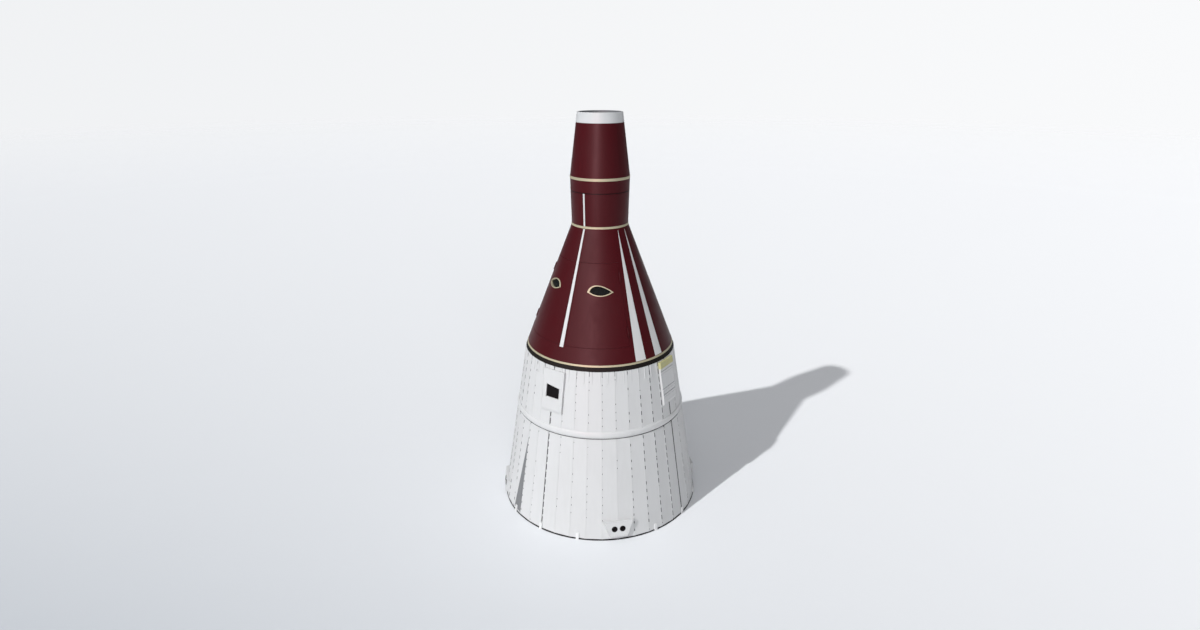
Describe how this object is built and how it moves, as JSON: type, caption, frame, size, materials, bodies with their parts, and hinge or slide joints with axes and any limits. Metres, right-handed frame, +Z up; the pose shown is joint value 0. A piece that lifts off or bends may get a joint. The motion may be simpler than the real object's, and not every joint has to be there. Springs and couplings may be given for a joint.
{
  "type": "two-seat space capsule with launch adapter",
  "caption": "Cone-shaped crew capsule with two outward-opening hatches, dark almond windows and a slim nose, standing on a white flared adapter.",
  "frame": {"origin": "centre of the adapter's base ring, at its lower face", "axes": "+Z up the capsule's axis to the nose, -Y to the spine between the hatches, +X to the right-hand hatch as seen from outside"},
  "size_m": [3.0806, 3.0806, 5.833],
  "materials": {
    "white_paint": "satin white paint",
    "burgundy_paint": "satin burgundy paint over shingles",
    "gold_trim": "satin pale gold",
    "dark_ablator": "matt dark ablative",
    "dark_metal": "matt black",
    "grey_paint": "satin grey paint",
    "yellow_primer": "matt zinc primer",
    "steel": "brushed",
    "gold_foil": "gold coated blanket",
    "radar_grey": "matt grey",
    "window_glass": "dark tinted",
    "seat_cloth": "woven cloth",
    "panel_grey": "matt grey paint"
  },
  "bodies": {
    "capsule": {"base_ring": "dark_metal", "base_lugs": "white_paint", "aft_bulkhead": "gold_foil", "equipment_skin": "white_paint", "split_band": "white_paint", "retro_skin": "white_paint", "seam_strips": "dark_metal", "grey_wedge_panel": "grey_paint", "thruster_fairings": "white_paint", "thruster_nozzles": "dark_metal", "port_panels": "white_paint", "port_liners": "dark_metal", "umbilical_fairings": "white_paint", "umbilical_caps": "yellow_primer", "heat_shield": "dark_ablator", "base_trim": "gold_trim", "cabin_sill": "burgundy_paint", "cabin_spine": "burgundy_paint", "cabin_side_left": "burgundy_paint", "cabin_side_right": "burgundy_paint", "cabin_back": "burgundy_paint", "cabin_crown": "burgundy_paint", "neck_trim": "gold_trim", "control_section": "burgundy_paint", "recovery_collar": "burgundy_paint", "nose_trim": "gold_trim", "nose_section": "burgundy_paint", "nose_cap": "white_paint", "radar_face": "radar_grey", "white_stripes": "white_paint", "hinge_fixed": "steel", "cabin_floor": "panel_grey", "instrument_panel": "panel_grey", "centre_console": "panel_grey", "seat_frames": "grey_paint", "seat_pads": "seat_cloth"},
    "hatch_left_body": {"hatch_left": "burgundy_paint", "window_frame_left": "gold_trim", "window_glass_left": "window_glass", "hinge_leaf_left": "steel"},
    "hatch_right_body": {"hatch_right": "burgundy_paint", "window_frame_right": "gold_trim", "window_glass_right": "window_glass", "hinge_leaf_right": "steel"}
  },
  "joints": [
    {"name": "hatch_left_hinge", "type": "hinge", "parent": "capsule", "child": "hatch_left_body", "pos_m": [-0.66399, -0.4312, 3.31108], "axis": [-0.3027, -0.1966, -0.9326], "range_deg": [0, 75]},
    {"name": "hatch_right_hinge", "type": "hinge", "parent": "capsule", "child": "hatch_right_body", "pos_m": [0.66399, -0.4312, 3.31108], "axis": [-0.3027, 0.1966, 0.9326], "range_deg": [0, 75]}
  ]
}
